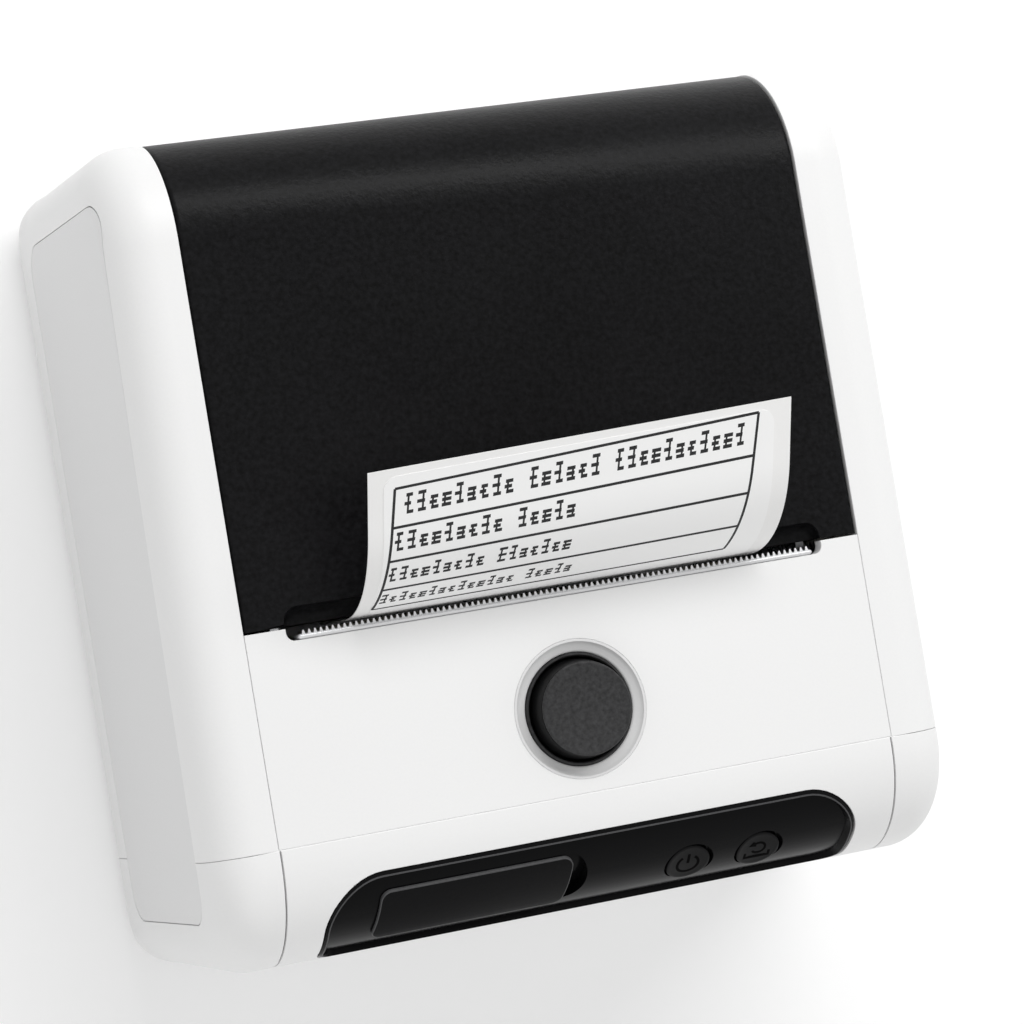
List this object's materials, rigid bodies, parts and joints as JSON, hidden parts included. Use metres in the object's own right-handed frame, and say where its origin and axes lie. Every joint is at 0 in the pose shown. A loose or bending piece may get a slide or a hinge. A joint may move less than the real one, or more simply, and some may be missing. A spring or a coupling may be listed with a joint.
{
  "type": "thermal label printer",
  "caption": "Portable thermal label printer with a curved lid, paper slot with tear bar, round release button, control panel and printed label strip.",
  "frame": {"origin": "centre of the footprint, on the surface the printer lies on", "axes": "+Z out of the front face and lid, -Y towards the end with the control panel, +Y towards the lid's hinge, X across the paper"},
  "size_m": [0.1134, 0.118, 0.0783],
  "materials": {
    "white_shell": "smooth, semi gloss",
    "grey_panel": "flat, satin",
    "black_lid": "fine grain, matte",
    "black_plastic": "moulded, satin",
    "black_frame": "moulded, matte",
    "button_black": "fine grain, matte",
    "ring_grey": "satin",
    "soft_black": "soft, matte",
    "foot_rubber": "matte",
    "platen_rubber": "ground, matte",
    "steel": "stamped, zinc plated",
    "blade_steel": "bright",
    "spring_steel": "drawn wire",
    "screw_steel": "zinc plated",
    "sink_aluminium": "milled",
    "ceramic_head": "glazed",
    "motor_can": "drawn, plated",
    "gear_brass": "cut",
    "gear_nylon": "natural nylon",
    "bush_brass": "turned",
    "cable_film": "polyimide film",
    "cable_white": "flat cable",
    "board_green": "solder mask",
    "chip_black": "moulded epoxy",
    "switch_grey": "moulded",
    "socket_metal": "plated",
    "cell_wrap": "shrink sleeve over a metal can",
    "label_paper": "coated thermal paper",
    "backing_paper": "glassine backing",
    "core_card": "spiral wound",
    "plate_foil": "bare foil"
  },
  "bodies": {
    "case": {"main_case": "white_shell", "bottom_cap": "white_shell", "front_cover": "white_shell", "side_panel_left": "grey_panel", "side_panel_right": "grey_panel", "roll_tub": "black_frame", "feet": "foot_rubber", "case_screws": "screw_steel", "rating_plate": "plate_foil", "hinge_pins": "steel", "button_ring": "ring_grey", "button_sleeve": "black_plastic", "release_spring": "spring_steel", "tear_bar": "blade_steel", "mech_bracket": "steel", "head_springs": "spring_steel", "spring_cups": "black_frame", "head_rod": "steel", "motor": "motor_can", "idler_post": "steel", "head_cable": "cable_film", "main_board": "board_green", "board_parts": "chip_black", "battery_tray": "black_frame", "battery_cells": "cell_wrap", "control_panel": "black_plastic", "switch_board": "board_green", "switch_cable": "cable_white", "panel_screws": "screw_steel", "mech_screws": "screw_steel", "switches": "switch_grey", "usb_socket": "socket_metal", "gap_sensor": "chip_black", "web": "backing_paper"},
    "lid": {"lid": "black_lid", "lid_inner": "black_frame", "bushings": "bush_brass", "label_strip": "backing_paper", "label_sticker": "label_paper"},
    "platen": {"platen_shaft": "steel", "platen_rubber": "platen_rubber", "platen_gear": "gear_nylon"},
    "idler": {"idler_gear": "gear_nylon"},
    "rotor": {"motor_shaft": "steel", "motor_pinion": "gear_brass"},
    "head": {"heat_sink": "sink_aluminium", "print_head": "ceramic_head"},
    "release": {"release_button": "button_black", "release_clip": "spring_steel"},
    "power": {"power_button": "button_black"},
    "feed": {"feed_button": "button_black"},
    "flap": {"usb_flap": "soft_black"},
    "left_guide": {"guide_left": "black_frame"},
    "right_guide": {"guide_right": "black_frame"},
    "pinion": {"guide_pinion": "gear_nylon"},
    "roll": {"label_roll": "label_paper", "roll_core": "core_card"}
  },
  "joints": [
    {"name": "lid_hinge", "type": "hinge", "parent": "case", "child": "lid", "pos_m": [0, 0.0554, 0.036], "axis": [-1, 0, 0], "range_deg": [0, 100]},
    {"name": "platen_spin", "type": "hinge", "parent": "lid", "child": "platen", "pos_m": [0, -0.0066, 0.0495], "axis": [1, 0, 0], "continuous": true},
    {"name": "idler_spin", "type": "hinge", "parent": "case", "child": "idler", "pos_m": [0.045, -0.00955, 0.03597], "axis": [1, 0, 0], "continuous": true},
    {"name": "rotor_spin", "type": "hinge", "parent": "case", "child": "rotor", "pos_m": [0.045, -0.02031, 0.03205], "axis": [1, 0, 0], "continuous": true},
    {"name": "release_press", "type": "slide", "parent": "case", "child": "release", "axis": [0, 0, -1], "range_m": [0, 0.0015], "stiffness_N_per_m": 600, "springref_m": -0.002, "deforming": ["release_spring"]},
    {"name": "head_tilt", "type": "hinge", "parent": "case", "child": "head", "pos_m": [0, -0.0152, 0.043], "axis": [1, 0, 0], "range_deg": [0, 6]},
    {"name": "power_press", "type": "slide", "parent": "case", "child": "power", "axis": [0, 0.7501, -0.6613], "range_m": [0, 0.0005], "stiffness_N_per_m": 800, "springref_m": -0.0004},
    {"name": "feed_press", "type": "slide", "parent": "case", "child": "feed", "axis": [0, 0.7501, -0.6613], "range_m": [0, 0.0005], "stiffness_N_per_m": 800, "springref_m": -0.0004},
    {"name": "flap_hinge", "type": "hinge", "parent": "case", "child": "flap", "pos_m": [-0.0346, -0.05493, 0.05452], "axis": [0, -0.6613, -0.7501], "range_deg": [0, 100]},
    {"name": "right_guide_slide", "type": "slide", "parent": "case", "child": "right_guide", "axis": [1, 0, 0], "range_m": [0, 0.009]},
    {"name": "left_guide_slide", "type": "slide", "parent": "case", "child": "left_guide", "axis": [-1, 0, 0], "range_m": [0, 0.009]},
    {"name": "pinion_turn", "type": "hinge", "parent": "case", "child": "pinion", "pos_m": [0, 0.027, 0.0055], "axis": [0, 0, 1], "range_deg": [0, 110]},
    {"name": "roll_spin", "type": "hinge", "parent": "case", "child": "roll", "pos_m": [0, 0.027, 0.029], "axis": [1, 0, 0], "continuous": true}
  ],
  "couplings": [
    {"joint": "idler_spin", "follows": "platen_spin", "ratio": -0.76923},
    {"joint": "rotor_spin", "follows": "platen_spin", "ratio": 1.6667},
    {"joint": "head_tilt", "follows": "release_press", "rad_per_m": 67},
    {"joint": "left_guide_slide", "follows": "right_guide_slide", "ratio": 1},
    {"joint": "pinion_turn", "follows": "right_guide_slide", "rad_per_m": 208.33}
  ]
}
